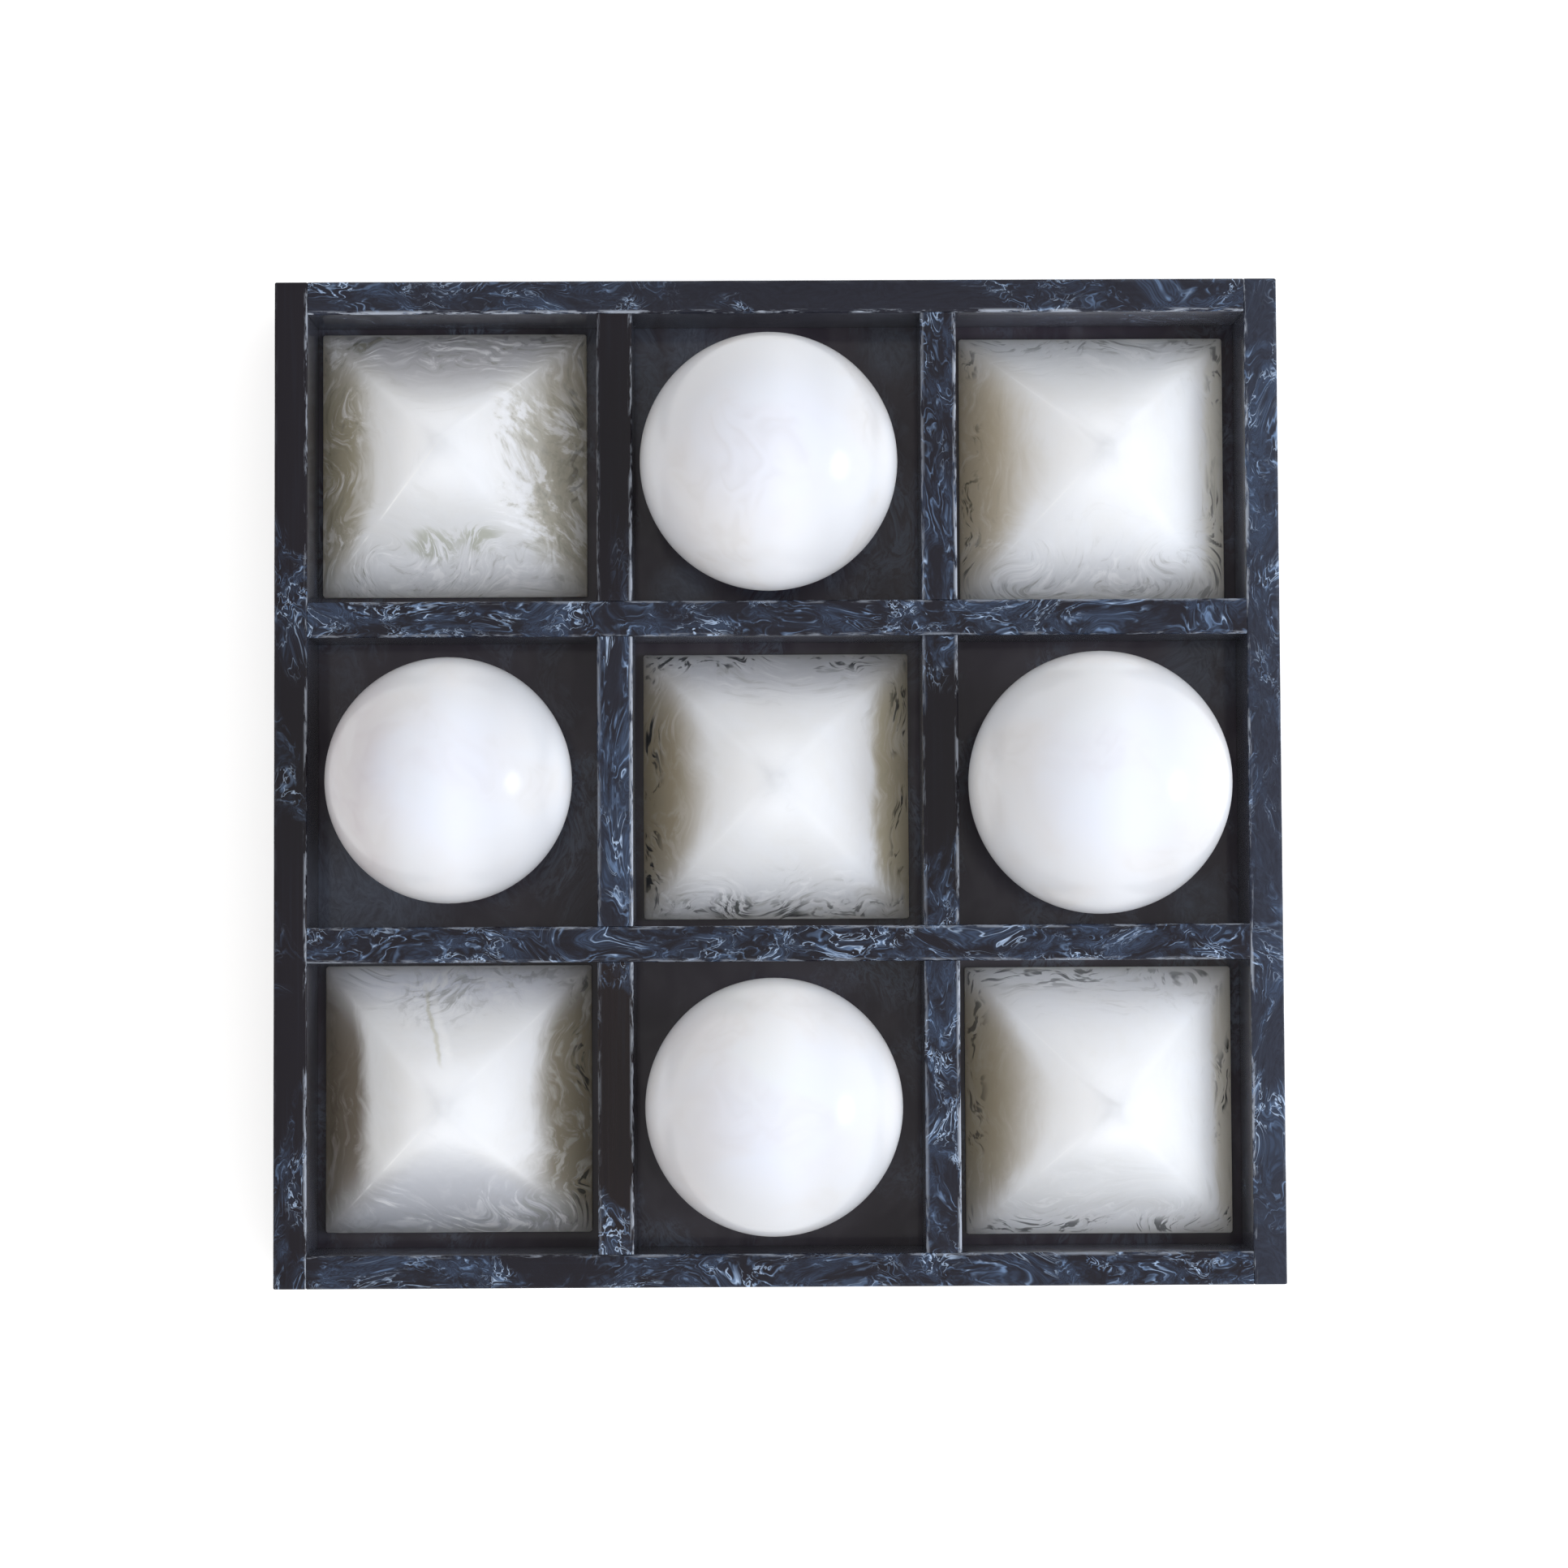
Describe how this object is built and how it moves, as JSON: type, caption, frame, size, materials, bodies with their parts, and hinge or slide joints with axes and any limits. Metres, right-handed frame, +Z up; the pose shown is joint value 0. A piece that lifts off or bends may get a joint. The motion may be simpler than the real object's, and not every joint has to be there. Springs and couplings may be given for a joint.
{
  "type": "tic tac toe set",
  "caption": "Square tray of open cells with upright walls, holding solid pyramids and balls that lift out as the playing pieces of a tic tac toe game.",
  "frame": {"origin": "centre of the tray's outline, on the table plane that the bumper feet stand on", "axes": "+Z up, +Y towards the back wall, +X towards the right side wall"},
  "size_m": [0.305, 0.305, 0.09],
  "materials": {
    "marbled_resin": "polished cast resin, near-black navy with blue-white marbled swirls",
    "milky_resin": "satin-polished cast resin, milky swirls in a half-clear body, clearer and darker towards the base edges",
    "white_resin": "high-gloss opaque white cast resin with faint pearly clouds",
    "clear_rubber": "soft frosted bumper"
  },
  "bodies": {
    "tray": {"base_panel": "marbled_resin", "bumper_foot_back_left": "clear_rubber", "bumper_foot_back_right": "clear_rubber", "bumper_foot_front_left": "clear_rubber", "bumper_foot_front_right": "clear_rubber", "left_wall": "marbled_resin", "right_wall": "marbled_resin", "back_wall": "marbled_resin", "front_wall": "marbled_resin", "back_row_divider": "marbled_resin", "front_row_divider": "marbled_resin", "left_column_divider_back": "marbled_resin", "left_column_divider_middle": "marbled_resin", "left_column_divider_front": "marbled_resin", "right_column_divider_back": "marbled_resin", "right_column_divider_middle": "marbled_resin", "right_column_divider_front": "marbled_resin"},
    "pyramid_back_left": {"pyramid_back_left": "milky_resin"},
    "pyramid_back_right": {"pyramid_back_right": "milky_resin"},
    "pyramid_centre": {"pyramid_centre": "milky_resin"},
    "pyramid_front_left": {"pyramid_front_left": "milky_resin"},
    "pyramid_front_right": {"pyramid_front_right": "milky_resin"},
    "ball_back": {"ball_back": "white_resin"},
    "ball_left": {"ball_left": "white_resin"},
    "ball_right": {"ball_right": "white_resin"},
    "ball_front": {"ball_front": "white_resin"}
  },
  "joints": [
    {"name": "pyramid_back_left_lift", "type": "slide", "parent": "tray", "child": "pyramid_back_left", "axis": [0, 0, 1], "range_m": [0, 0.09]},
    {"name": "pyramid_back_right_lift", "type": "slide", "parent": "tray", "child": "pyramid_back_right", "axis": [0, 0, 1], "range_m": [0, 0.09]},
    {"name": "pyramid_centre_lift", "type": "slide", "parent": "tray", "child": "pyramid_centre", "axis": [0, 0, 1], "range_m": [0, 0.09]},
    {"name": "pyramid_front_left_lift", "type": "slide", "parent": "tray", "child": "pyramid_front_left", "axis": [0, 0, 1], "range_m": [0, 0.09]},
    {"name": "pyramid_front_right_lift", "type": "slide", "parent": "tray", "child": "pyramid_front_right", "axis": [0, 0, 1], "range_m": [0, 0.09]},
    {"name": "ball_back_lift", "type": "slide", "parent": "tray", "child": "ball_back", "axis": [0, 0, 1], "range_m": [0, 0.09]},
    {"name": "ball_left_lift", "type": "slide", "parent": "tray", "child": "ball_left", "axis": [0, 0, 1], "range_m": [0, 0.09]},
    {"name": "ball_right_lift", "type": "slide", "parent": "tray", "child": "ball_right", "axis": [0, 0, 1], "range_m": [0, 0.09]},
    {"name": "ball_front_lift", "type": "slide", "parent": "tray", "child": "ball_front", "axis": [0, 0, 1], "range_m": [0, 0.09]}
  ]
}
